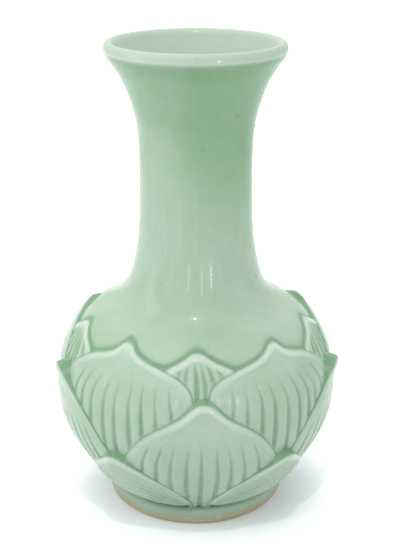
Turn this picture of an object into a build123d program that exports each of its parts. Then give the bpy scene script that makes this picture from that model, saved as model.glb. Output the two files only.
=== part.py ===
"""Ceramic bud vase with four tiers of lotus petals.

The pot is modelled as it is made in clay: a thrown belly, a thrown neck set on
its shoulder, a rolled lip, a turned foot ring, and leaf-shaped petals laid on
the belly in four tiers of five. Tier 1 is the lowest and lies over tier 2,
which lies over tier 3, which lies over tier 4.

Frame: +Z up, origin at the centre of the foot ring's resting face. The middle
of one tier 2 petal faces -Y. Azimuths count from -Y towards +X.
"""
import os
from math import cos, radians, sin

from build123d import *

# Driving dimensions, millimetres and degrees
HEIGHT = 180.0
LIP_RADIUS = 33.2
LIP_HEIGHT = 6.4
LIP_THICKNESS = 4.2
LIP_OVERHANG = 2.2
NECK_RADIUS = 21.2
NECK_WALL = 3.6
JOINT_RADIUS = 29.9
JOINT_Z = 84.0
BELLY_RADIUS = 52.0
BELLY_WALL = 4.6
FLOOR_Z = 14.0
FLOOR_RADIUS = 26.0
FOOT_RADIUS = 35.3
FOOT_HEIGHT = 7.6
FOOT_WIDTH = 6.6
FOOT_CHAMFER = 1.1
PETALS_PER_TIER = 5
PETAL_STEP = 360 / PETALS_PER_TIER

LIP_CREASE_Z = HEIGHT - LIP_HEIGHT
LIP_CREASE_RADIUS = LIP_RADIUS - LIP_OVERHANG

# Extrusion length that passes any petal from the vase's axis
REACH = 2 * BELLY_RADIUS

# Directions of the wall lines where they leave the foot, the floor, the joint and the crease
FOOT_DIRECTION = (0.75, 1.0)
FLOOR_DIRECTION = (1.0, 0.15)
JOINT_DIRECTION = (-0.70, 0.71)
CREASE_DIRECTION = (0.62, 0.78)

# Wall sections as (radius, height), from the foot up
BELLY_OUTER = [
    (FOOT_RADIUS - 1.3, FOOT_HEIGHT),
    (43.4, 19.0),
    (49.6, 32.0),
    (BELLY_RADIUS, 48.0),
    (49.2, 64.0),
    (42.2, 74.0),
    (JOINT_RADIUS, JOINT_Z),
]
BELLY_INNER = [
    (FLOOR_RADIUS, FLOOR_Z),
    (39.4, 22.0),
    (45.6, 34.0),
    (BELLY_RADIUS - BELLY_WALL, 48.0),
    (44.2, 62.5),
    (37.6, 71.5),
    (JOINT_RADIUS - BELLY_WALL, JOINT_Z),
]
NECK_OUTER = [
    (JOINT_RADIUS, JOINT_Z),
    (25.2, 91.5),
    (22.5, 105.0),
    (NECK_RADIUS, 135.0),
    (24.4, 162.0),
    (LIP_CREASE_RADIUS, LIP_CREASE_Z),
]
NECK_INNER = [
    (JOINT_RADIUS - BELLY_WALL, JOINT_Z),
    (20.9, 92.5),
    (18.8, 105.0),
    (NECK_RADIUS - NECK_WALL, 135.0),
    (20.7, 162.5),
    (LIP_CREASE_RADIUS - LIP_THICKNESS, LIP_CREASE_Z),
]

# Each tier: the azimuth of its first petal, its outer surface as (radius,
# height) from base to tip, where it flares outward, and one side of its leaf
# outline as (half width, height), from the base up to the tip.
TIERS = {
    1: {
        "azimuth": PETAL_STEP / 2,
        "surface": [(35.6, FOOT_HEIGHT), (41.8, 12.6), (47.2, 20.0), (52.4, 28.8), (57.4, 36.2)],
        "outline": [
            (17.5, FOOT_HEIGHT),
            (21.0, 13.0),
            (18.6, 22.2),
            (12.4, 28.0),
            (5.4, 33.2),
            (0.0, 36.2),
        ],
    },
    2: {
        "azimuth": 0.0,
        "surface": [(35.1, FOOT_HEIGHT), (45.8, 20.0), (53.2, 36.0), (55.3, 48.0), (56.0, 62.2)],
        "outline": [
            (20.0, FOOT_HEIGHT),
            (27.0, 18.0),
            (29.0, 34.0),
            (23.4, 45.2),
            (15.0, 52.0),
            (6.8, 57.5),
            (0.0, 62.2),
        ],
    },
    3: {
        "azimuth": PETAL_STEP / 2,
        "surface": [(51.4, 32.0), (54.3, 46.0), (53.4, 60.0), (49.8, 70.0), (43.4, 77.2)],
        "outline": [
            (25.0, 32.0),
            (30.9, 50.0),
            (27.9, 61.0),
            (18.9, 69.3),
            (10.7, 72.1),
            (4.4, 74.9),
            (0.0, 77.2),
        ],
    },
    4: {
        "azimuth": 0.0,
        "surface": [(52.3, 58.0), (50.4, 65.0), (47.7, 70.5), (42.6, 77.0)],
        "outline": [(23.0, 58.0), (22.4, 65.0), (15.0, 70.8), (7.9, 73.8), (0.0, 77.0)],
    },
}


def write(piece, name):
    """Label a finished piece and write its STEP file."""
    piece.label = name
    export_step(piece, f"parts/{name}.step")


def upright_plane(azimuth):
    """Upright plane through the vase's axis that faces outward at an azimuth."""
    angle = radians(azimuth)
    return Plane(origin=(0, 0, 0), x_dir=(cos(angle), sin(angle), 0), z_dir=(sin(angle), -cos(angle), 0))


def wall_section(points, directions=None):
    """Half section between an outer wall line and the vase's axis, ready to revolve."""
    with BuildSketch(Plane.XZ) as section:
        with BuildLine():
            Spline(*points, tangents=directions)
            Polyline(points[-1], (0, points[-1][1]), (0, points[0][1]), points[0])
        make_face()
    return section.sketch


def leaf_outline(tier, azimuth):
    """A tier's whole leaf outline on the upright plane at an azimuth."""
    outline = TIERS[tier]["outline"]
    base_z = outline[0][1]
    with BuildSketch(upright_plane(azimuth)) as leaf:
        with BuildLine():
            Spline(*outline)
            Polyline(outline[-1], (0, base_z), outline[0])
        make_face()
        mirror(about=Plane.YZ)
    return leaf.sketch


def petal_azimuth(tier, turn):
    """Azimuth of a tier's petal, counted in whole steps round the belly."""
    return TIERS[tier]["azimuth"] + turn * PETAL_STEP


def build_petal(tier, turn):
    """One petal of a tier, trimmed where the petals of other tiers lie over it."""
    with BuildPart() as petal:
        extrude(leaf_outline(tier, petal_azimuth(tier, turn)), amount=REACH)
        revolve(wall_section(TIERS[tier]["surface"]), axis=Axis.Z, mode=Mode.INTERSECT)
        add(belly_form.part, mode=Mode.SUBTRACT)
        for cover in range(1, tier):
            for cover_turn in (turn - 1, turn, turn + 1):
                cover_azimuth = petal_azimuth(cover, cover_turn)
                extrude(leaf_outline(cover, cover_azimuth), amount=REACH, mode=Mode.SUBTRACT)
    return petal.part


os.makedirs("parts", exist_ok=True)

# Foot ring: the turned ring that the vase rests on
with BuildPart() as foot_ring:
    with BuildSketch():
        Circle(FOOT_RADIUS)
        Circle(FOOT_RADIUS - FOOT_WIDTH, mode=Mode.SUBTRACT)
    extrude(amount=FOOT_HEIGHT)
    chamfer(foot_ring.edges().group_by(Axis.Z)[0], length=FOOT_CHAMFER)
write(foot_ring.part, "foot_ring")

# Solid form of the belly, which also trims the back of every petal
with BuildPart() as belly_form:
    revolve(wall_section(BELLY_OUTER, [FOOT_DIRECTION, JOINT_DIRECTION]), axis=Axis.Z)

# Belly: the round body with its floor, open at the neck joint
with BuildPart() as belly:
    add(belly_form.part)
    revolve(wall_section(BELLY_INNER, [FLOOR_DIRECTION, JOINT_DIRECTION]), axis=Axis.Z, mode=Mode.SUBTRACT)
write(belly.part, "belly")

# Neck: the waisted tube from the shoulder to the lip's crease
with BuildPart() as neck:
    revolve(wall_section(NECK_OUTER, [JOINT_DIRECTION, CREASE_DIRECTION]), axis=Axis.Z)
    revolve(wall_section(NECK_INNER, [JOINT_DIRECTION, CREASE_DIRECTION]), axis=Axis.Z, mode=Mode.SUBTRACT)
write(neck.part, "neck")

# Lip: the rolled ring that closes the neck's edge
lip_bulge = (LIP_RADIUS, HEIGHT - 0.45 * LIP_HEIGHT)
lip_top = (LIP_CREASE_RADIUS, HEIGHT)
lip_inner_edge = (LIP_RADIUS - 4.6, HEIGHT - 1.6)
mouth_direction = (-CREASE_DIRECTION[0], -CREASE_DIRECTION[1])
with BuildPart() as lip:
    with BuildSketch(Plane.XZ):
        with BuildLine():
            outer_crease = NECK_OUTER[-1]
            inner_crease = NECK_INNER[-1]
            Line(inner_crease, outer_crease)
            Spline(outer_crease, lip_bulge, lip_top, tangents=[(1, 0.3), (-1, 0)])
            Spline(lip_top, lip_inner_edge, inner_crease, tangents=[(-1, 0), mouth_direction])
        make_face()
    revolve(axis=Axis.Z)
write(lip.part, "lip")

# Petals: each tier's leaf, repeated around the belly
for tier_number in TIERS:
    for turn_number in range(PETALS_PER_TIER):
        with BuildPart() as petal:
            add(build_petal(tier_number, turn_number))
        write(petal.part, f"petal_tier{tier_number}_{turn_number + 1}")
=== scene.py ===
"""Looks of the ceramic bud vase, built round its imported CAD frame.

The pot is one body of revolution with four tiers of lotus petals in relief.
One surface rule gives the outer radius at any azimuth and height, and every
piece takes its own area of it, so neighbouring pieces meet without a gap.
Lengths inside this script are millimetres until a mesh is made. Azimuths are
counted from -Y towards +X.
"""

import math

import bpy
import numpy as np
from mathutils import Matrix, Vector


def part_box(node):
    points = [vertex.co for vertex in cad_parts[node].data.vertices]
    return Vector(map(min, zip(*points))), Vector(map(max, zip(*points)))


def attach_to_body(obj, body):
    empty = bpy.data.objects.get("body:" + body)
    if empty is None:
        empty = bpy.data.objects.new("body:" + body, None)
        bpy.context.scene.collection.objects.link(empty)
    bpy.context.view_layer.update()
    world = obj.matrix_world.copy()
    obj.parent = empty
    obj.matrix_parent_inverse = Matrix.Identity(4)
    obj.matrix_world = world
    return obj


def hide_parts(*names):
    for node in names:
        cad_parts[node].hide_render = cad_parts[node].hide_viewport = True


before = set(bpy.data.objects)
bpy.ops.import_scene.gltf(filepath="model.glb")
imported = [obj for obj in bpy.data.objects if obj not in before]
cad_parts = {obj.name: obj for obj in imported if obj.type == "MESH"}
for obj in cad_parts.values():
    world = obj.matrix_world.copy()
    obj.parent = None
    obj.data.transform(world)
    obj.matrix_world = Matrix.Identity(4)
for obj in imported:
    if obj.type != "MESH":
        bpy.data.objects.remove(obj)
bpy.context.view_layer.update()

MM = 0.001
SEED = 371
# Glaze masks: thin glaze with painted light, pooled glaze with painted shade, and the veins
MASKS = ("thin_and_painted_light", "pool_and_painted_shade", "vein")


def box_mm(node):
    """Lowest and highest corner of a CAD node, in millimetres."""
    low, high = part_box(node)
    return np.array(low) / MM, np.array(high) / MM


HEIGHT = box_mm("lip")[1][2]
CREASE_Z = box_mm("lip")[0][2]
JOINT_Z = box_mm("neck")[0][2]
FOOT_TOP = box_mm("foot_ring")[1][2]
FOOT_RADIUS = box_mm("foot_ring")[1][0]
TIP_Z = {tier: box_mm(f"petal_tier{tier}_1")[1][2] for tier in (1, 2, 3, 4)}

PETALS = 5
STEP = 2 * math.pi / PETALS
TIERS = (4, 3, 2, 1)

# Wall lines as (radius, height), and the directions in which they start and end
OUTER_WALL = [
    (34.0, 7.6), (43.2, 19.0), (49.4, 32.0), (52.3, 48.0), (52.0, 56.5), (50.3, 64.0), (46.9, 70.0),
    (43.7, 74.0), (39.7, 77.6), (31.2, 83.0), (26.7, 88.2), (24.6, 93.8), (22.7, 103.0), (21.3, 122.0),
    (21.2, 138.0), (22.2, 151.5), (25.2, 162.0), (28.2, 168.5), (31.6, 173.6),
]
INNER_WALL = [
    (26.0, 14.0), (39.4, 22.0), (45.6, 34.0), (47.4, 48.0), (44.6, 62.5), (38.2, 71.5),
    (25.3, 84.0), (20.9, 92.5), (18.8, 105.0), (17.6, 135.0), (20.7, 162.5), (26.8, 173.6),
]
LIP_LINE = [
    (31.6, 173.6), (32.7, 175.2), (33.25, 176.9), (33.05, 178.6), (32.3, 179.7), (31.3, 180.0),
    (30.1, 179.3), (28.8, 177.2), (26.8, 173.6),
]

OUTER_START, OUTER_END = (0.75, 1.0), (0.60, 0.80)
INNER_START, INNER_END = (1.0, 0.15), (0.5, 0.87)
LIP_START, LIP_END = (0.62, 0.78), (-0.5, -0.87)

# Middle line of each tier's face as (radius, height), flared at the tip
FACE = {
    1: [(34.6, 7.6), (40.9, 12.4), (46.6, 20.0), (52.0, 28.6), (57.2, 36.2), (59.0, 39.5)],
    2: [
        (34.6, 7.6), (45.2, 20.0), (50.7, 29.0), (53.9, 37.5), (55.2, 47.0), (55.4, 54.0),
        (55.2, 62.2), (55.0, 66.0),
    ],
    3: [
        (50.2, 30.0), (53.0, 38.0), (54.2, 46.0), (54.2, 53.0), (52.7, 62.0), (48.8, 70.0),
        (46.0, 74.0), (42.6, 77.2), (40.2, 79.6),
    ],
    4: [(53.2, 54.0), (52.7, 59.0), (51.0, 65.0), (47.6, 70.5), (44.9, 74.0), (41.7, 77.0), (39.4, 79.2)],
}

# One side of each tier's leaf outline as (half angle in degrees, height), from the tip down
OUTLINE = {
    1: [
        (0.0, 36.8), (3.3, 35.2), (5.8, 33.1), (9.6, 30.8), (13.8, 28.2), (18.0, 25.5),
        (22.8, 22.0), (27.0, 17.8), (30.2, 13.4), (31.4, 9.8), (30.0, 6.0), (24.0, 1.0),
    ],
    2: [
        (0.0, 62.9), (3.6, 60.8), (7.0, 57.6), (10.7, 54.8), (15.5, 52.0), (20.5, 48.7), (24.6, 45.1),
        (28.0, 40.9), (31.3, 36.3), (34.5, 30.0), (37.5, 22.0), (40.0, 10.0), (41.0, 0.0),
    ],
    3: [
        (0.0, 77.9), (3.0, 76.5), (5.6, 74.8), (9.6, 73.3), (14.6, 72.0), (20.2, 70.5), (24.2, 68.9),
        (27.6, 66.8), (30.0, 64.5), (31.5, 61.5), (33.5, 57.0), (35.0, 51.0), (37.5, 42.0), (39.0, 28.0),
    ],
    4: [
        (0.0, 77.4), (3.0, 76.0), (6.0, 74.5), (10.0, 72.9), (14.0, 71.3), (17.5, 68.8),
        (20.3, 65.0), (22.2, 60.0), (23.0, 50.0),
    ],
}

# Relief of each tier: crown is how much lower its sides lie, edge and roll are the
# drop and width of its rolled edge, rim is the raised line inside the edge, dish is
# the hollow under the tip, and tip is how far the point is rounded
RELIEF = {
    1: dict(crown=0.9, edge=1.3, roll=3.8, rim=0.10, dish=0.10, tip=4.0),
    2: dict(crown=0.5, edge=0.8, roll=2.4, rim=0.12, dish=0.22, tip=3.6),
    3: dict(crown=0.5, edge=0.8, roll=2.4, rim=0.12, dish=0.22, tip=3.8),
    4: dict(crown=0.4, edge=0.7, roll=1.8, rim=0.10, dish=0.10, tip=5.0),
}
# Heights below a tip between which the tip's own relief comes in
NEAR_TIP = (15, 3)
# Where that raised line and that hollow lie inside the edge, and how wide they are
RIM_AT, RIM_WIDTH = 2.0, 0.95
DISH_AT, DISH_WIDTH = 5.0, 3.0
# How fast a petal's side falls outside its outline, and how far the glaze rounds its foot
SIDE_STEEPNESS = 3.0
GLAZE_FILLET = 1.9
# How far the surface under a petal sinks, so that it doesn't show through
BURY = 3.0
# How far a piece sinks outside its own area, and how fast
DIP_DEPTH = 1.2
DIP_RATE = 0.3
# Where the glaze thins inside an edge and pools outside it, with painted shade in that crease, and over what
# width
THIN_AT, THIN_WIDTH = 1.0, 1.3
CREASE_AT, CREASE_WIDTH = -0.6, 0.85
# Softer darkening outside each tier's edge, pooled glaze with painted shade, and how far it reaches
HALO = {1: 0.95, 2: 0.95, 3: 0.95, 4: 1.1}
HALO_REACH = 5.0
# Most pooled glaze and painted shade anywhere
MOST_POOL_AND_SHADE = 1.5
# Spacing of an outline's points, and how far it is carried on past the tip
OUTLINE_MM = 0.7
PAST_TIP = 14
# Least distance that is told apart outside an outline, and the value below the outline's foot
FAR_OUTSIDE = -5.0
BELOW_OUTLINE = -9.0
# How far the pieces run past the joint of belly and neck, and the low petals past the foot ring's top
LAP = 1.3
# How fast a piece's own measure grows from that joint, per millimetre, and from the lip's crease, per point
JOINT_RATE = 2
CREASE_RATE = 0.25

# Petals in the front half whose tips lean sideways, in degrees, or lie lower, in millimetres
TIP_LEAN = {(2, 0): 0.8, (3, 4): -2.2, (3, 0): 4.0, (4, 0): -1.6, (4, 1): 4.0, (4, 4): -5.0}
TIP_RISE = {(3, 0): -1.2, (3, 4): -0.3, (4, 1): -0.3, (4, 4): -0.8}
# Most random lean, in degrees, and rise, in millimetres, of the petals not listed above
FREE_LEAN, FREE_RISE = 1.4, 0.35
# Random range of each petal's tilt, in millimetres
TILT_RANGE = (-0.25, 0.2)
# How far below the tip a petal's lean starts, in millimetres
LEAN_REACH = {1: 26, 2: 26, 3: 11, 4: 12}
# Petals that bow sideways, in degrees, and where below the tip, in millimetres
BOW = {(3, 4): 2.2, (3, 0): -3.4}
BOW_BELOW_TIP = 8.5
BOW_WIDTH = 7.0
# Petals whose tips stand out further, and how far below the tip that starts, in millimetres
TIP_FLARE = {(2, 1): 2.3, (2, 4): 2.0, (3, 1): 1.6, (3, 3): 1.5}
FLARE_REACH = {1: 9, 2: 9, 3: 5, 4: 5}
# Azimuth of each tier's first petal
FIRST_AZIMUTH = {1: STEP / 2, 2: 0.0, 3: STEP / 2, 4: 0.0}


# ---------------------------------------------------------------- lines

def smooth_line(points, start=None, end=None, steps=40):
    """Dense points on a cubic spline through (a, b) pairs, with given end directions or natural ends."""
    p = np.array(points, float)
    h = np.hypot(*np.diff(p, axis=0).T)
    n = len(p)
    matrix = np.zeros((n, n))
    right = np.zeros((n, 2))
    for i in range(1, n - 1):
        matrix[i, i - 1:i + 2] = h[i], 2 * (h[i - 1] + h[i]), h[i - 1]
        right[i] = 3 * (h[i] * (p[i] - p[i - 1]) / h[i - 1] + h[i - 1] * (p[i + 1] - p[i]) / h[i])
    for row, near, gap, way in ((0, 1, h[0], start), (n - 1, n - 2, h[-1], end)):
        if way is None:
            matrix[row, row], matrix[row, near] = 2, 1
            right[row] = 3 * (p[max(row, near)] - p[min(row, near)]) / gap
        else:
            matrix[row, row] = 1
            right[row] = np.array(way) / math.hypot(*way)
    slope = np.linalg.solve(matrix, right)
    out = []
    for i in range(n - 1):
        t = np.linspace(0, 1, steps, endpoint=i == n - 2)[:, None]
        out.append(
            (2 * t**3 - 3 * t**2 + 1) * p[i] + (t**3 - 2 * t**2 + t) * h[i] * slope[i]
            + (3 * t**2 - 2 * t**3) * p[i + 1] + (t**3 - t**2) * h[i] * slope[i + 1]
        )
    return np.vstack(out)


def run_along(points):
    """Length of a line up to each of its points."""
    return np.concatenate([[0], np.cumsum(np.hypot(*np.diff(points, axis=0).T))])


def along(points, spacing):
    """Points at an even spacing along a dense line."""
    run = run_along(points)
    at = np.linspace(0, run[-1], max(2, int(run[-1] / spacing)))
    return np.stack([np.interp(at, run, points[:, k]) for k in (0, 1)], 1)


def left_of(points):
    """Unit vectors that point to the left of a line's direction."""
    way = np.gradient(points, axis=0)
    way /= np.linalg.norm(way, axis=1, keepdims=True)
    return np.stack([-way[:, 1], way[:, 0]], 1)


def smooth_step(low, high, x):
    """Soft step from 0 at low to 1 at high; low may lie above high."""
    t = np.clip((x - low) / (high - low), 0, 1)
    return t * t * (3 - 2 * t)


def bell(x, centre, width):
    """Bell curve of height 1."""
    return np.exp(-(((x - centre) / width) ** 2))


OUTER = smooth_line(OUTER_WALL, start=OUTER_START, end=OUTER_END)
INNER = smooth_line(INNER_WALL, start=INNER_START, end=INNER_END)
FACE_LINE = {tier: smooth_line(FACE[tier]) for tier in TIERS}
OUTER_RUN = run_along(OUTER)


def wall_radius(z):
    """Outer radius of the bare thrown wall."""
    return np.interp(z, OUTER[:, 1], OUTER[:, 0])


def unroll(angle, z):
    """Flat coordinates on the wall: length round it and length up it."""
    run = np.interp(z, OUTER[:, 1], OUTER_RUN) + np.minimum(z - OUTER[0, 1], 0)
    return angle * wall_radius(z), run


def roll_up(flat):
    """Angle and height of flat coordinates."""
    z = np.interp(flat[:, 1], OUTER_RUN, OUTER[:, 1]) + np.minimum(flat[:, 1], 0)
    return flat[:, 0] / wall_radius(z), z


def leaf_line(tier):
    """A tier's right-hand outline in flat coordinates, from the tip down."""
    dense = smooth_line(OUTLINE[tier])
    return along(np.stack(unroll(np.radians(dense[:, 0]), dense[:, 1]), 1), OUTLINE_MM)


LEAF = {tier: leaf_line(tier) for tier in TIERS}


def side_distance(line, x, s):
    """Distance from a leaf's right-hand outline, carried on past the tip; positive on the leaf's side."""
    past_tip = line[:1] + PAST_TIP * (line[0] - line[1]) / math.hypot(*(line[0] - line[1]))
    line = np.vstack([past_tip, line])
    best = np.full(x.shape, np.inf)
    side = np.zeros(x.shape)
    for (ax, ay), (bx, by) in zip(line[:-1], line[1:]):
        dx, dy = bx - ax, by - ay
        t = np.clip(((x - ax) * dx + (s - ay) * dy) / (dx * dx + dy * dy), 0, 1)
        gap = (x - ax - t * dx) ** 2 + (s - ay - t * dy) ** 2
        nearer = gap < best
        best = np.where(nearer, gap, best)
        side = np.where(nearer, dy * (x - ax) - dx * (s - ay), side)
    return np.sign(side) * np.sqrt(best)


def smooth_min(a, b, k):
    """The smaller of two fields, rounded over a span of k where they meet."""
    h = np.maximum(k - np.abs(a - b), 0) / k
    return np.minimum(a, b) - h * h * k / 4


def leaf_distance(tier, angle, z):
    """Distance inside (+) or outside (-) a leaf's outline, in flat coordinates, rounded at the tip."""
    x, s = unroll(angle, z)
    line = LEAF[tier]
    distance = smooth_min(side_distance(line, x, s), side_distance(line, -x, s), RELIEF[tier]["tip"])
    return np.where(s > line[-1, 1], distance, BELOW_OUTLINE)


# ---------------------------------------------------------------- petals

# Veins of each tier: step and shift in degrees, count, the height at which they start,
# the run over which they widen, how far inside the edge they reach full depth, and the
# fan in which they spread, as (height, factor)
VEINS = {
    2: dict(
        step=5.9, count=11, shift=0.0, start=46.8, run=22, edge=4.6,
        fan=[(10, 1.2), (20, 1.15), (28, 1.1), (37, 1.0), (44, 0.87), (50, 0.8)],
    ),
    3: dict(
        step=6.0, count=11, shift=0.3, start=68.5, run=22, edge=4.6,
        fan=[(36, 1.05), (50, 1.03), (57, 1.0), (64, 0.9), (70, 0.78)],
    ),
    4: dict(
        step=3.9, count=6, shift=0.0, start=76.0, run=9, edge=2.6,
        fan=[(58, 1.15), (67, 1.0), (71, 0.85), (76, 0.55)],
    ),
}
# Half width and depth of a vein at its start, how much each grows over the run, and how
# steep its sides are
VEIN_WIDTH, WIDTH_GROWTH = 0.34, 0.50
VEIN_DEPTH, DEPTH_GROWTH = 0.33, 0.43
VEIN_STEEPNESS = 3.2
# Random draws for each petal's veins, their most wander in degrees, and their depth's factor
MOST_VEINS = 14
VEIN_WANDER = 0.7
DEPTH_RANGE = (0.85, 1.15)
# Groove depth that is coloured in full
FULL_VEIN = 0.8
# Grooves of a low petal as (place, depth): place 0 is its upper edge and 1 its foot
RIDGES = ((0.32, 0.3), (0.44, 0.5), (0.56, 0.6), (0.68, 0.6), (0.80, 0.55), (0.91, 0.4))
RIDGE_WIDTH = 0.40
RIDGE_STEEPNESS = 3
# Points of tier 1's outline that make its upper edge
UPPER_EDGE = 60


def petal_traits():
    """Small hand-made differences of every petal: lean, rise, tilt, flare, bow and its veins."""
    rng = np.random.default_rng(SEED)
    traits = {}
    for tier in TIERS:
        for turn in range(PETALS):
            lean = TIP_LEAN.get((tier, turn), rng.uniform(-FREE_LEAN, FREE_LEAN))
            if (tier, turn) in TIP_LEAN:
                rise = TIP_RISE.get((tier, turn), 0.0)
            else:
                rise = rng.uniform(-FREE_RISE, FREE_RISE)
            traits[tier, turn] = dict(
                lean=math.radians(lean),
                rise=rise,
                tilt=rng.uniform(*TILT_RANGE),
                flare=TIP_FLARE.get((tier, turn), 0.0),
                bow=math.radians(BOW.get((tier, turn), 0.0)),
                veins=np.radians(rng.uniform(-VEIN_WANDER, VEIN_WANDER, MOST_VEINS)),
                depth=rng.uniform(*DEPTH_RANGE, MOST_VEINS),
            )
    return traits


TRAITS = petal_traits()


def trait(tier, turn, key):
    """One trait of the petals in an array of turns."""
    return np.array([TRAITS[tier, k][key] for k in range(PETALS)])[turn]


def lean_weight(tier, z):
    """How much of a petal's lean, rise and tilt holds at a height, from 0 to 1 at the tip."""
    return smooth_step(TIP_Z[tier] - LEAN_REACH[tier], TIP_Z[tier], z)


def sway(lean, bow, tier, z):
    """Sideways turn of a petal at a height, from its lean and its bow."""
    return lean * lean_weight(tier, z) + bow * bell(z, TIP_Z[tier] - BOW_BELOW_TIP, BOW_WIDTH)


def local(tier, theta, z):
    """Nearest petal of a tier, and the angle and height within it."""
    turns = np.round((theta - FIRST_AZIMUTH[tier]) / STEP)
    angle = theta - FIRST_AZIMUTH[tier] - turns * STEP
    turn = turns.astype(int) % PETALS
    z_own = z - trait(tier, turn, "rise") * lean_weight(tier, z)
    return turn, angle - sway(trait(tier, turn, "lean"), trait(tier, turn, "bow"), tier, z), z_own


def vein_depth(tier, turn, angle, z, distance):
    """Depth of the carved veins, each a soft-edged groove that widens downwards."""
    if tier == 1:
        return ridge_depth(angle, z, distance)
    law = VEINS[tier]
    heights, factors = np.array(law["fan"]).T
    fan = np.interp(z, heights, factors)
    slope = np.gradient(factors, heights)
    fan_slope = np.interp(z, heights, slope)
    below = law["start"] - z
    down = smooth_step(0, law["run"], below)
    width = VEIN_WIDTH + WIDTH_GROWTH * down
    deep = VEIN_DEPTH + DEPTH_GROWTH * down
    fade = np.maximum(smooth_step(0, 5, below), 0.14 * smooth_step(-9, -3, below))
    fade = fade * smooth_step(1.6, law["edge"], distance)
    wander, strength = trait(tier, turn, "veins"), trait(tier, turn, "depth")
    depth = np.zeros_like(z)
    radius = wall_radius(z)
    for k in range(law["count"]):
        base = math.radians(law["step"] * (k - (law["count"] - 1) / 2) + law["shift"]) + wander[:, k]
        across = (angle - base * fan) * radius / np.hypot(1, base * fan_slope * radius)
        groove = 1 / (1 + (np.abs(across) / width) ** VEIN_STEEPNESS)
        depth = np.maximum(depth, groove * deep * strength[:, k])
    return depth * fade


def ridge_depth(angle, z, distance):
    """Grooves on a low petal: they run under its upper edge and close up at its foot end."""
    x, s = unroll(np.abs(angle), z)
    low = unroll(0.0, FOOT_TOP)[1]
    edge = LEAF[1][:UPPER_EDGE]
    top = np.interp(x, edge[:, 0], edge[:, 1])
    span = np.maximum(top - low, 1.5)
    part = (top - s) / span
    depth = np.zeros_like(z)
    for at, deep in RIDGES:
        across = (part - at) * span
        depth = np.maximum(depth, deep / (1 + (np.abs(across) / RIDGE_WIDTH) ** RIDGE_STEEPNESS))
    return depth * smooth_step(1.2, 2.6, distance) * smooth_step(0.02, 0.24, np.abs(angle))


def tier_layer(tier, z, place_in, cover):
    """Face radius of a tier everywhere, and its masks; cover is how deep it lies under lower tiers."""
    turn, angle, z_own, distance = place_in
    relief = RELIEF[tier]
    near_tip = smooth_step(TIP_Z[tier] - NEAR_TIP[0], TIP_Z[tier] - NEAR_TIP[1], z_own)
    radius = np.interp(z_own, FACE_LINE[tier][:, 1], FACE_LINE[tier][:, 0])
    radius += trait(tier, turn, "tilt") * lean_weight(tier, z)
    flare_weight = smooth_step(TIP_Z[tier] - FLARE_REACH[tier], TIP_Z[tier] + 1, z)
    radius += trait(tier, turn, "flare") * flare_weight
    radius -= relief["crown"] * (angle / (STEP / 2)) ** 2
    radius -= relief["edge"] * (1 - np.minimum(distance / relief["roll"], 1)) ** 2
    radius -= SIDE_STEEPNESS * np.minimum(distance, 0) ** 2
    radius += relief["rim"] * bell(distance, RIM_AT, RIM_WIDTH) * (0.55 + 0.45 * near_tip)
    radius -= relief["dish"] * bell(distance, DISH_AT, DISH_WIDTH) * near_tip
    vein = vein_depth(tier, turn, angle, z_own, distance) * smooth_step(-0.4, 1.8, -cover)
    radius -= vein
    halo = HALO[tier] * np.clip(1 + distance / HALO_REACH, 0, 1) ** 2
    halo = halo * smooth_step(0.4, -0.6, distance)
    # Masks: thin glaze on the edge, pooled glaze with painted shade in the crease and round the edge, and
    # the veins
    masks = dict(
        thin_and_painted_light=0.95 * bell(distance, THIN_AT, THIN_WIDTH) * (0.42 + 0.58 * near_tip),
        pool_and_painted_shade=0.46 * bell(distance, CREASE_AT, CREASE_WIDTH) + halo,
        vein=np.clip(vein / FULL_VEIN, 0, 1),
    )
    # Painted shade over tier 1's upward-facing face, which catches the top light
    if tier == 1:
        masks["pool_and_painted_shade"] += 0.42 * smooth_step(0.5, 3.5, distance) * smooth_step(10, 24, z_own)
    return radius, masks


def smooth_max(a, b, k):
    """The larger of two fields, rounded over a span of k where they meet."""
    h = np.maximum(k - np.abs(a - b), 0) / k
    return np.maximum(a, b) + h * h * k / 4


def wobble(theta, z):
    """Slight out-of-round of a hand-thrown pot."""
    return 0.10 * np.sin(2 * theta + 0.7) + 0.06 * np.sin(3 * theta + z / 34)


def build_up(theta, z):
    """Outer radius after each tier is laid on, how far each tier owns the place, and the masks."""
    height = wall_radius(z) + wobble(theta, z)
    heights, owns, marks = {}, {}, {}
    masks = {key: np.zeros_like(z) for key in MASKS}
    place_in, distances = {}, {}
    for tier in TIERS:
        turn, angle, z_own = local(tier, theta, z)
        distances[tier] = np.maximum(leaf_distance(tier, angle, z_own), FAR_OUTSIDE)
        place_in[tier] = turn, angle, z_own, distances[tier]
    for tier in TIERS:
        distance = distances[tier]
        lower = [distances[under] for under in range(1, tier)]
        cover = np.max([*lower, np.full_like(z, FAR_OUTSIDE)], axis=0)
        face, new = tier_layer(tier, z, place_in[tier], cover)
        face = face + wobble(theta, z)
        owns[tier] = face - height + GLAZE_FILLET
        height = smooth_max(height - BURY * smooth_step(0, 2.5, distance), face, GLAZE_FILLET)
        heights[tier] = height
        over = smooth_step(-0.9, 0.3, distance)
        masks = {
            "thin_and_painted_light": masks["thin_and_painted_light"] * (1 - over) + new["thin_and_painted_light"] * over,
            "vein": masks["vein"] * (1 - over) + new["vein"] * over,
            "pool_and_painted_shade": np.clip(masks["pool_and_painted_shade"] * (1 - over) + new["pool_and_painted_shade"], 0, MOST_POOL_AND_SHADE),
        }
        marks[tier] = masks
    # Pooled glaze and painted crease shade where the petals meet the foot ring
    foot = bell(z, FOOT_TOP + 0.4, 1.3)
    for tier in marks:
        marks[tier] = dict(marks[tier], pool_and_painted_shade=np.clip(marks[tier]["pool_and_painted_shade"] + foot, 0, MOST_POOL_AND_SHADE))
    return heights, owns, marks


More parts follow.
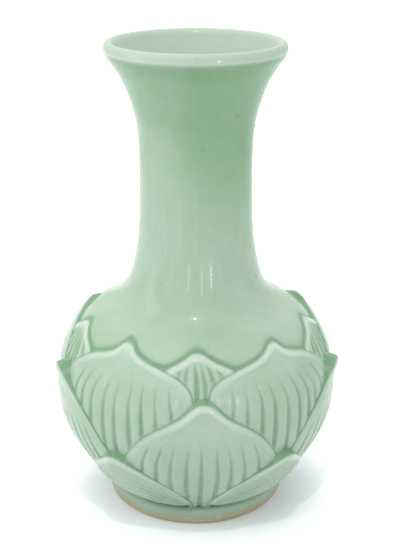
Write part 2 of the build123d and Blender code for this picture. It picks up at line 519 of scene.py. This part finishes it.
def dip(own):
    """How far a piece sinks below the shared surface outside its own area."""
    return DIP_DEPTH * (1 - np.exp(-DIP_RATE * np.minimum(own, 0) ** 2 / DIP_DEPTH))


# ---------------------------------------------------------------- meshes

def place(radius, theta, z):
    """Millimetre points from radius, azimuth and height."""
    return np.stack([radius * np.sin(theta), -radius * np.cos(theta), z + 0 * theta], -1)


def grid_normals(points, closed):
    """Outward normals of a grid of points [row, column, xyz], closed round its columns or not."""
    if closed:
        across = np.roll(points, -1, 1) - np.roll(points, 1, 1)
    else:
        across = np.gradient(points, axis=1)
    up = np.gradient(points, axis=0)
    normal = np.cross(across, up)
    return normal / np.maximum(np.linalg.norm(normal, axis=-1, keepdims=True), 1e-12)


def make_mesh(name, points, faces, masks=None, normals=None):
    """A mesh object in metres, smooth shaded, with its glaze masks as point attributes."""
    mesh = bpy.data.meshes.new(name)
    mesh.from_pydata((points * MM).tolist(), [], faces)
    mesh.polygons.foreach_set("use_smooth", [True] * len(mesh.polygons))
    for key, values in (masks or {}).items():
        layer = mesh.attributes.new(key, "FLOAT", "POINT")
        layer.data.foreach_set("value", values.astype(np.float32))
    mesh.validate()
    mesh.update()
    if normals is not None:
        mesh.normals_split_custom_set_from_vertices(normals.tolist())
    thing = bpy.data.objects.new(name, mesh)
    bpy.context.scene.collection.objects.link(thing)
    return thing


def attach(thing, node, slot, *materials):
    """Give a piece its materials and its place in the frame."""
    for material in materials:
        thing.data.materials.append(material)
    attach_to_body(thing, "root")
    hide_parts(node)


def ring_faces(rows, columns, closed):
    """Quads between rows of a revolved grid; the last row joins the first when closed."""
    faces = []
    for i in range(rows if closed else rows - 1):
        low, high = i * columns, ((i + 1) % rows) * columns
        for j in range(columns):
            k = (j + 1) % columns
            faces.append((low + j, low + k, high + k, high + j))
    return faces


def spread(points, columns):
    """Azimuths, and the radius and height of each profile point on every column."""
    theta = np.linspace(0, 2 * np.pi, columns, endpoint=False)
    radius = np.repeat(points[:, :1], columns, 1)
    z = np.repeat(points[:, 1:2], columns, 1)
    return np.broadcast_to(theta, radius.shape), radius, z


# Height of a petal's area at its foot, and how far it runs under the tier that covers it
AREA_BOTTOM = {2: 6.0, 3: 33.5, 4: 58.0}
UNDER_COVER = {2: 1.2, 3: 1.2, 4: 2.6}
# How far a petal's area reaches outside its outline: along the side, more near the tip, and above it
SIDE_MARGIN, EXTRA_NEAR_TIP, TIP_MARGIN = 2.0, 0.9, 3.4
# Least gap between two points of a border
LEAST_GAP = 0.4


def side_lines(tier):
    """Upper and lower right-hand borders of a petal's area, in flat coordinates."""
    line = LEAF[tier]
    margin = SIDE_MARGIN + EXTRA_NEAR_TIP * np.exp(-np.arange(len(line)) / 4.0)
    upper = line + left_of(line) * margin[:, None]
    tip = np.array([[0.0, line[0, 1] + TIP_MARGIN]])
    upper = np.vstack([tip, upper[upper[:, 0] > LEAST_GAP]])
    if tier == 1:
        return low_side_lines(upper)
    angle, z = roll_up(upper[1:])
    covered = leaf_distance(tier - 1, STEP / 2 - angle, z) > 1.0
    upper = upper[:int(np.argmax(covered)) + 2]
    angle, z = roll_up(LEAF[tier - 1])
    lower = np.stack(unroll(STEP / 2 - angle, z), 1)
    lower = lower + UNDER_COVER[tier] * left_of(lower)
    bottom = np.array([[0.0, unroll(0.0, AREA_BOTTOM[tier])[1]]])
    keep = (lower[:, 1] < upper[-1, 1] - 0.6) & (lower[:, 1] > bottom[0, 1] + 0.5)
    keep &= lower[:, 0] > 0.5
    return upper, np.vstack([upper[-1:], lower[keep], bottom])


def low_side_lines(upper):
    """Both borders of a low petal, whose area ends at the foot ring."""
    bottom = unroll(0.0, FOOT_TOP - LAP)[1]
    upper = upper[upper[:, 1] > bottom + 0.3]
    corner = np.array([[upper[-1, 0] - LEAST_GAP, bottom]])
    return np.vstack([upper, corner]), np.vstack([corner, [[0.0, bottom]]])


def graded(points, cells):
    """A line cut into cells that are shorter near both ends."""
    run = run_along(points)
    u = np.linspace(0, 1, cells + 1)
    at = (u - 0.25 * np.sin(2 * np.pi * u) / (2 * np.pi)) * run[-1]
    return np.stack([np.interp(at, run, points[:, k]) for k in (0, 1)], 1)


# Size of a cell on a petal's face, how many of them one cell of its back spans, and how
# far that back lies inside the wall
GRID_MM = 0.34
COARSE = 4
BACK_DEPTH = 0.6


def petal_grid(tier):
    """Flat grid of a petal's area: rows run to its right corner, columns to its left corner."""
    upper, lower = side_lines(tier)
    cells = COARSE * max(int(len(along(line, GRID_MM)) / COARSE) for line in (upper, lower))
    mirror = np.array([-1.0, 1.0])
    # The lower sides start at the bottom, the upper ones at the left and right corners
    low_right, up_right = graded(lower[::-1], cells), graded(upper[::-1], cells)
    low_left, up_left = low_right * mirror, up_right * mirror
    u = np.linspace(0, 1, cells + 1)[:, None, None]
    v = np.linspace(0, 1, cells + 1)[None, :, None]
    bottom, right, left, tip = low_right[0], low_right[-1], low_left[-1], up_left[-1]
    corners = (1 - u) * (1 - v) * bottom + u * (1 - v) * right + (1 - u) * v * left + u * v * tip
    along_u = (1 - v) * low_right[:, None] + v * up_left[:, None]
    return along_u + (1 - u) * low_left[None] + u * up_right[None] - corners


def build_petal(tier, turn, material):
    """One petal: its face on the shared surface, its back in the belly and a closed border."""
    flat = PETAL_GRIDS[tier]
    n = flat.shape[0]
    angle, z = roll_up(flat.reshape(-1, 2))
    traits = TRAITS[tier, turn]
    z = z + traits["rise"] * lean_weight(tier, z)
    theta = FIRST_AZIMUTH[tier] + turn * STEP + angle
    theta += sway(traits["lean"], traits["bow"], tier, z)
    heights, owns, marks = build_up(theta, z)
    own = owns[tier]
    for cover in range(1, tier):
        own = np.minimum(own, -owns[cover])
    shared = place(heights[tier], theta, z)
    face_radius = heights[tier] - dip(own)
    face = place(face_radius, theta, z)
    normals = grid_normals(shared.reshape(n, n, 3).swapaxes(0, 1), False).swapaxes(0, 1).reshape(-1, 3)
    back_radius = np.minimum(wall_radius(z), face_radius) - BACK_DEPTH
    back = place(back_radius, theta, z).reshape(n, n, 3)[::COARSE, ::COARSE]
    m = back.shape[0]
    faces = grid_faces(n, 0, True) + grid_faces(m, n * n, False) + border_faces(n, m)
    points = np.vstack([face, back.reshape(-1, 3)])
    masks = {key: np.concatenate([marks[tier][key], np.zeros(m * m)]) for key in MASKS}
    normals = np.vstack([normals, np.zeros((m * m, 3))])
    name = f"petal_tier{tier}_{turn + 1}"
    thing = make_mesh(name + "_glazed", points, faces, masks, normals)
    attach(thing, name, "glaze", material)


def grid_faces(n, first, outward):
    """Quads of a square grid of n by n points that are numbered from first on."""
    i, j = np.meshgrid(np.arange(n - 1), np.arange(n - 1), indexing="ij")
    corner = (first + i * n + j).ravel()
    ring = [corner, corner + n, corner + n + 1, corner + 1]
    if not outward:
        ring = [ring[0], ring[3], ring[2], ring[1]]
    return np.stack(ring, 1).tolist()


def border_point(n, side, step):
    """Number of the point that lies some steps along one side of a square grid, going round it."""
    last = n - 1
    i, j = ((step, 0), (last, step), (last - step, last), (0, last - step))[side]
    return i * n + j


def border_faces(n, m):
    """Triangles between a petal's fine face, n by n points, and its coarse back, m by m points."""
    ring = []
    for side in range(4):
        for step in range(n - 1):
            near, far = (n * n + border_point(m, side, step // COARSE + k) for k in (0, 1))
            ring.append((border_point(n, side, step), near, far))
    faces = []
    for k, (here, near, far) in enumerate(ring):
        after = ring[(k + 1) % len(ring)][0]
        part = k % COARSE
        if part < COARSE // 2:
            faces.append((here, near, after))
        else:
            faces.append((here, far, after))
        if part == COARSE // 2 - 1:
            faces.append((after, near, far))
    return faces


# The belly's outside is fine above this height, where the petals leave it bare
BARE_FROM = 66
# Spacing of its rows under the petals, where it is bare, and inside
COVERED_MM, BARE_MM, INSIDE_MM = 4.0, 0.42, 2.4
BELLY_COLUMNS, NECK_COLUMNS, FOOT_COLUMNS = 720, 360, 480


def belly_lines():
    """Outside of the belly from the foot up, and its inside from the neck down."""
    z = OUTER[:, 1]
    low = along(OUTER[z < BARE_FROM + 1], COVERED_MM)
    high = along(OUTER[(z >= BARE_FROM) & (z <= JOINT_Z + LAP)], BARE_MM)
    inside = along(INNER[INNER[:, 1] <= JOINT_Z + LAP], INSIDE_MM)[::-1]
    return np.vstack([low[:-1], high]), inside


def build_belly(material):
    """The round body: fine where it shows above the petals, plain inside."""
    columns = BELLY_COLUMNS
    outside, inside = belly_lines()
    theta, radius, z = spread(outside, columns)
    _, owns, marks = build_up(theta.ravel(), z.ravel())
    own = np.minimum.reduce([-owns[tier] for tier in TIERS]).reshape(z.shape)
    own = np.minimum(own, (JOINT_Z - z) * JOINT_RATE)
    shared = radius + wobble(theta, z)
    outer = place(shared - dip(own), theta, z)
    normals = grid_normals(place(shared, theta, z), True)
    theta_in, radius_in, z_in = spread(inside, columns)
    inner = place(radius_in + dip((JOINT_Z - z_in) * JOINT_RATE), theta_in, z_in)
    rows = len(outside) + len(inside)
    middle = [[0, 0, FOOT_TOP], [0, 0, INNER_WALL[0][1]]]
    points = np.vstack([outer.reshape(-1, 3), inner.reshape(-1, 3), middle])
    faces = ring_faces(rows, columns, False)
    base, floor = rows * columns, rows * columns + 1
    last = (rows - 1) * columns
    for j in range(columns):
        k = (j + 1) % columns
        faces.append((base, k, j))
        faces.append((floor, last + j, last + k))
    blank = np.zeros(inner.shape[0] * columns + 2)
    masks = {key: np.concatenate([marks[1][key], blank]) for key in MASKS}
    normals = np.vstack([normals.reshape(-1, 3), np.zeros((len(blank), 3))])
    thing = make_mesh("belly_glazed", points, faces, masks, normals)
    attach(thing, "belly", "glaze", material)


# Spacing of the rim line's points, the reach of its rounding in points, and how many
# points the neck and the lip each run past the crease between them
RIM_MM = 0.1
ROUNDING = 12
SHARED = 9
# How far the crease lies above the CAD's outside, and below it inside
CREASE_UP, CREASE_DOWN = 0.3, 0.5
# The neck keeps every fourth point outside and every eighth inside, the lip every third
NECK_STRIDE, INSIDE_STRIDE, LIP_STRIDE = 4, 8, 3


def rim_line():
    """Dense closed line of the neck and lip: up the outside, over the lip and down the inside."""
    outside = OUTER[OUTER[:, 1] >= JOINT_Z - LAP]
    inside = INNER[INNER[:, 1] >= JOINT_Z - LAP][::-1]
    lip = smooth_line(LIP_LINE, start=LIP_START, end=LIP_END)
    line = along(np.vstack([outside, lip[1:-1], inside]), RIM_MM)
    kernel = bell(np.arange(-ROUNDING, ROUNDING + 1), 0, 5.0)
    kernel /= kernel.sum()
    padded = np.pad(line, ((ROUNDING, ROUNDING), (0, 0)), mode="reflect", reflect_type="odd")
    return np.stack([np.convolve(padded[:, k], kernel, "valid") for k in (0, 1)], 1)


def rim_parts(line):
    """Points of the rim line that the neck and the lip keep, and how far inside its part each lies."""
    spot = np.arange(len(line))
    top = int(np.argmax(line[:, 1]))
    outer = int(np.argmax(line[:, 1] > CREASE_Z + CREASE_UP))
    inner = top + int(np.argmax(line[top:, 1] < CREASE_Z - CREASE_DOWN))
    neck = np.concatenate([spot[:outer + SHARED:NECK_STRIDE], spot[inner - SHARED::INSIDE_STRIDE]])
    lip = spot[outer - SHARED:inner + SHARED:LIP_STRIDE]
    neck_own = np.maximum(outer - neck, neck - inner) * CREASE_RATE
    neck_own = np.minimum(neck_own, (line[neck, 1] - JOINT_Z) * JOINT_RATE)
    lip_own = np.minimum(lip - outer, inner - lip) * CREASE_RATE
    return ("neck", neck, neck_own), ("lip", lip, lip_own)


def rim_masks(line):
    """Glaze masks along the rim line: darker under the lip as a painted dark reflection, pale thin glaze
    with a painted highlight on the lip's edge, and painted light in the mouth.
    """
    z = line[:, 1]
    outside = np.arange(len(line)) < int(np.argmax(z))
    # Painted dark reflection under the lip, strongest just below its crease
    pool_and_painted_shade = 0.15 + 0.3 * smooth_step(CREASE_Z - 7.6, CREASE_Z - 0.6, z)
    pool_and_painted_shade *= smooth_step(CREASE_Z - 13.6, CREASE_Z - 5.6, z)
    pool_and_painted_shade *= outside * smooth_step(CREASE_Z + 2.4, CREASE_Z + 1.4, z)
    # Pale thin glaze over the lip, with a painted highlight along its outer bulge
    rolled = 1.05 * bell(z, HEIGHT - 3.1, 0.9)
    rolled = np.maximum(rolled, 0.82 * smooth_step(HEIGHT - 4.6, HEIGHT - 3.4, z))
    # Painted light inside the mouth, brighter towards the rim
    mouth = 0.62 + 0.33 * smooth_step(HEIGHT - 30, HEIGHT, z)
    return dict(pool_and_painted_shade=pool_and_painted_shade, thin_and_painted_light=np.where(outside, rolled, mouth), vein=0 * z)


def turned_part(name, line, outward, own, masks, material):
    """A closed ring turned from part of the rim line; own says how far inside its area each point lies."""
    sunk = line - outward * dip(own)[:, None]
    theta, radius, z = spread(sunk, NECK_COLUMNS)
    points = place(radius + wobble(theta, z), theta, z).reshape(-1, 3)
    slope = np.repeat(outward, NECK_COLUMNS, 0)
    flat_theta = theta.ravel()
    normals = np.stack([slope[:, 0] * np.sin(flat_theta), -slope[:, 0] * np.cos(flat_theta), slope[:, 1]], 1)
    masks = {key: np.repeat(values, NECK_COLUMNS) for key, values in masks.items()}
    faces = ring_faces(len(line), NECK_COLUMNS, True)
    thing = make_mesh(name + "_glazed", points, faces, masks, normals)
    attach(thing, name, "glaze", material)


def build_neck_and_lip(material):
    """The waisted tube, and the rolled lip that closes it."""
    line = rim_line()
    outward = -left_of(line)
    masks = rim_masks(line)
    for name, keep, own in rim_parts(line):
        kept_masks = {key: values[keep] for key, values in masks.items()}
        turned_part(name, line[keep], outward[keep], own, kept_masks, material)


# Width of the foot ring's wall
FOOT_WIDTH = 6.6


def foot_profile():
    """Section of the foot ring as (radius, height, 1 on the glaze's edge), up the outside first."""
    outer, inner = FOOT_RADIUS, FOOT_RADIUS - FOOT_WIDTH
    return np.array([
        (inner + 1.4, 0.0, 0), (outer - 1.9, 0.0, 0), (outer - 1.1, 0.12, 0), (outer - 0.5, 0.6, 0),
        (outer - 0.22, 1.4, 0), (outer - 0.12, 2.6, 0), (outer - 0.08, 3.55, 1), (outer + 0.06, 3.75, 1),
        (outer + 0.14, 4.1, 1), (outer + 0.1, 4.6, 1), (outer + 0.04, 5.3, 0), (outer - 0.05, 5.9, 0),
        (outer - 0.25, 6.5, 0), (outer - 0.6, 7.1, 0), (outer - 1.1, 7.5, 0), (outer - 2.0, 7.6, 0),
        (inner + 0.6, 7.6, 0), (inner, 7.2, 0), (inner, 5.4, 0), (inner - 0.05, 4.4, 1),
        (inner + 0.05, 3.8, 1), (inner + 0.12, 3.3, 1), (inner + 0.3, 1.0, 0), (inner + 0.7, 0.25, 0),
    ])


def build_foot(glaze, clay):
    """The turned foot ring: bare tread, and glaze that ends in a soft wavy bead above it."""
    profile = foot_profile()
    theta, radius, z = spread(profile[:, :2], FOOT_COLUMNS)
    wave = 0.28 * np.sin(3 * theta + 0.4) + 0.16 * np.sin(7 * theta + 2.0) + 0.09 * np.sin(17 * theta)
    z = z + wave * profile[:, 2:3]
    # Pooled glaze and painted crease shade at the top of the foot ring, under the petals
    pool_and_painted_shade = np.where(z > 3.0, bell(z, FOOT_TOP, 1.5), 0)
    masks = dict(pool_and_painted_shade=pool_and_painted_shade.ravel(), thin_and_painted_light=np.zeros(z.size), vein=np.zeros(z.size))
    faces = ring_faces(len(profile), FOOT_COLUMNS, True)
    thing = make_mesh("foot_ring_turned", place(radius, theta, z).reshape(-1, 3), faces, masks)
    attach(thing, "foot_ring", "bare_clay", clay, glaze)
    # The glaze lies between the outer bead and the inner one
    bead = np.flatnonzero(profile[:, 2])
    rows = np.repeat(np.arange(len(profile)), FOOT_COLUMNS)
    glazed = (rows >= bead[0]) & (rows < bead[-1])
    thing.data.polygons.foreach_set("material_index", glazed.astype(np.int32))


# ---------------------------------------------------------------- materials

class Nodes:
    """Short calls for building a material's node tree."""

    def __init__(self, name):
        self.material = bpy.data.materials.new(name)
        self.material.use_nodes = True
        self.tree = self.material.node_tree
        self.shader = self.tree.nodes["Principled BSDF"]

    def add(self, kind, **settings):
        node = self.tree.nodes.new(kind)
        for key, value in settings.items():
            setattr(node, key, value)
        return node

    def link(self, source, target):
        self.tree.links.new(source, target)

    def mask(self, name):
        return self.add("ShaderNodeAttribute", attribute_name=name).outputs["Fac"]

    def where(self):
        return self.add("ShaderNodeTexCoord").outputs["Object"]

    def noise(self, scale, detail=3.0, rough=0.5, vector=None):
        node = self.add("ShaderNodeTexNoise")
        node.inputs["Scale"].default_value = scale
        node.inputs["Detail"].default_value = detail
        node.inputs["Roughness"].default_value = rough
        self.link(vector or self.where(), node.inputs["Vector"])
        return node.outputs["Fac"]

    def ramp(self, value, low, high, out_low=0.0, out_high=1.0):
        node = self.add("ShaderNodeMapRange", interpolation_type="SMOOTHSTEP")
        for socket, number in zip(node.inputs[1:5], (low, high, out_low, out_high)):
            socket.default_value = number
        self.link(value, node.inputs[0])
        return node.outputs[0]

    def math(self, operation, a, b=0.0):
        node = self.add("ShaderNodeMath", operation=operation)
        for socket, value in zip(node.inputs, (a, b)):
            if isinstance(value, (int, float)):
                socket.default_value = value
            else:
                self.link(value, socket)
        return node.outputs[0]

    def scaled(self, value, factor):
        return self.math("MULTIPLY", value, factor)

    def blend(self, factor, first, second):
        node = self.add("ShaderNodeMix", data_type="RGBA")
        self.link(factor, node.inputs["Factor"])
        for socket, value in ((node.inputs["A"], first), (node.inputs["B"], second)):
            if isinstance(value, tuple):
                socket.default_value = (*value, 1.0)
            else:
                self.link(value, socket)
        return node.outputs["Result"]

    def bump(self, height, strength, distance, normal=None):
        node = self.add("ShaderNodeBump")
        node.inputs["Strength"].default_value = strength
        node.inputs["Distance"].default_value = distance
        self.link(height, node.inputs["Height"])
        if normal:
            self.link(normal, node.inputs["Normal"])
        return node.outputs["Normal"]


# Colours of the glaze's body: its mottling, the neck's painted shade and darker band, its runs and its grain
PALE_BODY = (0.332, 0.425, 0.335)
GREEN_BODY = (0.285, 0.386, 0.283)
FINE_BODY = (0.228, 0.345, 0.225)
PATCH_BODY = (0.330, 0.400, 0.330)
NECK_BODY = (0.190, 0.312, 0.182)
RUN_BODY = (0.345, 0.430, 0.335)
GRAIN_BODY = (0.215, 0.335, 0.220)
# Colours of pooled glaze with painted shade, of a filled vein, of thin glaze with painted light, and of a
# speck
DEEP_POOL_AND_SHADE = (0.085, 0.20, 0.09)
VEIN_FILL = (0.105, 0.215, 0.11)
PALE_EDGE_AND_LIGHT = (0.50, 0.56, 0.51)
SPECK = (0.15, 0.22, 0.14)
# Colours of the bare clay
DULL_CLAY = (0.37, 0.355, 0.235)
LIGHT_CLAY = (0.42, 0.40, 0.28)
PORE_CLAY = (0.335, 0.32, 0.205)
# Heights in metres between which the neck's painted shade and its darker band under the lip come in, and its
# runs come in and end
NECK_MIDDLE = (0.098, 0.148)
NECK_UPPER = (0.146, 0.160)
RUNS_START = (0.080, 0.096)
RUNS_END = (0.140, 0.108)
# Noise scale of the runs along X, Y and Z
RUN_SCALE = (330.0, 330.0, 14.0)
# How strongly pooled glaze with painted shade, a vein, and a thin edge with painted light are coloured
POOL_AND_SHADE_TINT, VEIN_TINT, THIN_AND_LIGHT_TINT = 0.66, 0.56, 0.78


def mottled_body(n, fine):
    """Body colour with broad clouds, fine mottling and pale patches."""
    body = n.blend(n.ramp(n.noise(30.0, 4.0, 0.6), 0.35, 0.68), GREEN_BODY, PALE_BODY)
    body = n.blend(n.scaled(n.ramp(fine, 0.40, 0.75), 0.35), body, FINE_BODY)
    patches = n.ramp(n.noise(95.0, 3.0, 0.6), 0.46, 0.72)
    return n.blend(n.scaled(patches, 0.5), body, PATCH_BODY)


def drifting_place(n):
    """Place across and height, both moved by a slow noise, so that no tint ends in a straight line."""
    axes = n.add("ShaderNodeSeparateXYZ")
    n.link(n.where(), axes.inputs[0])
    drift = n.scaled(n.math("SUBTRACT", n.noise(22.0, 3.0), 0.5), 0.03)
    return n.math("ADD", axes.outputs["X"], drift), n.math("ADD", axes.outputs["Z"], drift)


def tint_neck(n, body, fine, across, tall):
    """Painted shade on the neck's right side, and a darker band all round under the lip."""
    # Painted shade: darker towards the neck's right side, away from the key light
    side = n.ramp(across, -0.017, 0.002, 0.25, 1.0)
    middle = n.math("MULTIPLY", n.ramp(tall, *NECK_MIDDLE), side)
    # A darker band all round just under the lip
    upper = n.scaled(n.ramp(tall, *NECK_UPPER), 0.75)
    darker = n.math("MULTIPLY", n.math("MAXIMUM", middle, upper), n.ramp(fine, 0.25, 0.75, 0.85, 1.0))
    return n.blend(darker, body, NECK_BODY)


def add_grain(n, body):
    """The finest grain in the glaze."""
    grain = n.ramp(n.noise(520.0, 3.0, 0.7), 0.40, 0.64)
    return n.blend(n.scaled(grain, 0.15), body, GRAIN_BODY)


def add_runs(n, body, tall):
    """Fine pale upright runs at the neck's root."""
    stretch = n.add("ShaderNodeVectorMath", operation="MULTIPLY")
    stretch.inputs[1].default_value = RUN_SCALE
    n.link(n.where(), stretch.inputs[0])
    reach = n.math("MULTIPLY", n.ramp(tall, *RUNS_START), n.ramp(tall, *RUNS_END))
    runs = n.ramp(n.noise(1.0, 2.0, 0.5, stretch.outputs[0]), 0.50, 0.68)
    return n.blend(n.scaled(n.math("MULTIPLY", runs, reach), 0.28), body, RUN_BODY)


def tint_by_masks(n, body, fine):
    """Deep green where the glaze pools and in the veins, with painted shade in creases, on the low petals
    and under the lip; pale where it thins, with painted light in the mouth and a painted highlight on the
    lip.
    """
    pool_and_painted_shade = n.math("MULTIPLY", n.mask("pool_and_painted_shade"), n.ramp(fine, 0.2, 0.8, 0.85, 1.1))
    tint = n.blend(n.ramp(pool_and_painted_shade, 0.0, 1.25, 0.0, POOL_AND_SHADE_TINT), body, DEEP_POOL_AND_SHADE)
    tint = n.blend(n.ramp(n.mask("vein"), 0.05, 0.9, 0.0, VEIN_TINT), tint, VEIN_FILL)
    return n.blend(n.ramp(n.mask("thin_and_painted_light"), 0.0, 1.5, 0.0, THIN_AND_LIGHT_TINT), tint, PALE_EDGE_AND_LIGHT)


def add_specks(n, tint):
    """Small dark specks, in a few patches only."""
    cells = n.add("ShaderNodeTexVoronoi", feature="F1")
    cells.inputs["Scale"].default_value = 90.0
    n.link(n.where(), cells.inputs["Vector"])
    dots = n.ramp(cells.outputs["Distance"], 0.05, 0.13, 1.0, 0.0)
    specks = n.math("MULTIPLY", dots, n.ramp(n.noise(23.0, 0.0), 0.55, 0.60))
    return n.blend(n.scaled(specks, 0.5), tint, SPECK)


def glaze_material():
    """Celadon glaze: deep green where it pools and where shade is painted, pale where it thins over edges
    and where light is painted.
    """
    n = Nodes("celadon_glaze")
    fine = n.noise(240.0, 4.0, 0.6)
    across, tall = drifting_place(n)
    body = tint_neck(n, mottled_body(n, fine), fine, across, tall)
    body = add_runs(n, add_grain(n, body), tall)
    tint = add_specks(n, tint_by_masks(n, body, fine))
    n.link(tint, n.shader.inputs["Base Color"])
    n.link(n.ramp(fine, 0.3, 0.7, 0.20, 0.30), n.shader.inputs["Roughness"])
    n.shader.inputs["Coat Weight"].default_value = 0.1
    n.shader.inputs["Coat Roughness"].default_value = 0.05
    n.shader.inputs["IOR"].default_value = 1.45
    n.shader.inputs["Specular IOR Level"].default_value = 0.12
    ripple = n.bump(n.noise(75.0, 1.0), 0.16, 0.0005)
    n.link(n.bump(n.noise(420.0, 1.0), 0.04, 0.0002, ripple), n.shader.inputs["Normal"])
    return n.material


def clay_material():
    """Bare tan clay of the tread: matte, grainy, a little darker in its pores."""
    n = Nodes("bare_clay")
    grain = n.noise(900.0, 4.0, 0.7)
    body = n.blend(n.ramp(n.noise(60.0, 2.0), 0.3, 0.7), DULL_CLAY, LIGHT_CLAY)
    tint = n.blend(n.ramp(grain, 0.42, 0.62), PORE_CLAY, body)
    n.link(tint, n.shader.inputs["Base Color"])
    n.link(n.ramp(grain, 0.3, 0.7, 0.7, 0.9), n.shader.inputs["Roughness"])
    n.link(n.bump(grain, 0.35, 0.0003), n.shader.inputs["Normal"])
    return n.material


# ---------------------------------------------------------------- stage

# Half the floor's width in metres, and the colours of the floor, the room and the lamps
FLOOR_REACH = 6
FLOOR_COLOUR = (0.895, 0.910, 0.945, 1.0)
ROOM_COLOUR = (0.955, 0.98, 1.0, 1.0)
LAMP_COLOUR = (1.0, 0.985, 0.96)
# Narrow upright lights in front that only draw streaks in the glaze, as (name, x, y, height, power)
FRONT_STRIPS = (
    ("front_strip_right", 0.40, -0.86, 0.16, 1.3),
    ("front_strip_middle", 0.13, -0.94, 0.26, 0.6),
    ("front_strip_left", -0.24, -0.92, 0.20, 0.5),
)


def build_floor():
    """Plain pale floor."""
    mesh = bpy.data.meshes.new("floor")
    corners = [(x * FLOOR_REACH, y * FLOOR_REACH, 0) for x, y in ((-1, -1), (1, -1), (1, 1), (-1, 1))]
    mesh.from_pydata(corners, [], [(0, 1, 2, 3)])
    floor = bpy.data.objects.new("floor", mesh)
    bpy.context.scene.collection.objects.link(floor)
    n = Nodes("pale_floor")
    n.shader.inputs["Base Color"].default_value = FLOOR_COLOUR
    n.shader.inputs["Roughness"].default_value = 0.85
    mesh.materials.append(n.material)


def area_light(name, at, target, size, power, tall=None, mirrored=False):
    """A slightly warm rectangular light that faces a target; only a mirrored one shows in the glaze."""
    data = bpy.data.lights.new(name, "AREA")
    data.shape = "RECTANGLE"
    data.size, data.size_y = size, tall or size
    data.energy = power
    data.color = LAMP_COLOUR
    light = bpy.data.objects.new(name, data)
    bpy.context.scene.collection.objects.link(light)
    light.location = at
    light.visible_glossy = mirrored
    aim(light, target)
    return light


def aim(thing, target):
    """Turn an object so that its -Z looks at a point."""
    x, y, z = (t - p for t, p in zip(target, thing.location))
    thing.rotation_euler = (math.atan2(math.hypot(x, y), -z), 0, math.atan2(-x, y))


def build_lights():
    """Soft studio light: a bright room, soft lights all round, a small spark and the front strips."""
    world = bpy.data.worlds.new("studio")
    bpy.context.scene.world = world
    world.use_nodes = True
    background = world.node_tree.nodes["Background"]
    background.inputs["Color"].default_value = ROOM_COLOUR
    background.inputs["Strength"].default_value = 0.80
    area_light("left_light", (-0.8, -0.45, 0.85), (0, 0, 0.1), 1.1, 3.0)
    area_light("left_panel", (-0.85, -0.12, 0.4), (0, 0, 0.13), 0.32, 2.2, tall=0.9, mirrored=True)
    area_light("right_light", (0.8, -0.45, 0.6), (0, 0, 0.08), 0.7, 2.0)
    area_light("top_light", (-0.1, -0.35, 1.15), (0, 0, 0.12), 0.7, 4.2)
    area_light("back_light", (-0.05, 0.8, 1.2), (0, 0, 0.0), 0.7, 4.2)
    area_light("backdrop_light", (0, 1.7, 1.6), (0, 1.9, 0), 2.0, 30.0, tall=1.2)
    area_light("spark_light", (-0.03, -0.45, 1.1), (0, 0, 0.1), 0.03, 2.0, mirrored=True)
    for name, x, y, tall, power in FRONT_STRIPS:
        centre = (x, y, 0.05 + tall / 2)
        strip = area_light(name, centre, (0, 0, 0.1), 0.04, power, tall=tall, mirrored=True)
        strip.visible_diffuse = False
    bpy.context.scene.view_settings.view_transform = "Standard"


def build_camera():
    """The camera: a little above the lip and close, turned slightly past the front petal."""
    data = bpy.data.cameras.new("camera")
    data.sensor_fit = "AUTO"
    data.sensor_width = 36.0
    data.lens = 69.03
    data.shift_x = 0.0078
    camera = bpy.data.objects.new("camera", data)
    bpy.context.scene.collection.objects.link(camera)
    azimuth = math.radians(-2.24)
    distance, height, pitch = 0.38248, 0.23655, math.radians(20.99)
    camera.location = (distance * math.sin(azimuth), -distance * math.cos(azimuth), height)
    camera.rotation_euler = (math.pi / 2 - pitch, 0, azimuth)
    bpy.context.scene.camera = camera


GLAZE = glaze_material()
CLAY = clay_material()
PETAL_GRIDS = {tier: petal_grid(tier) for tier in TIERS}
build_foot(GLAZE, CLAY)
build_belly(GLAZE)
build_neck_and_lip(GLAZE)
for tier in TIERS:
    for turn in range(PETALS):
        build_petal(tier, turn, GLAZE)
build_floor()
build_lights()
build_camera()
bpy.context.view_layer.update()
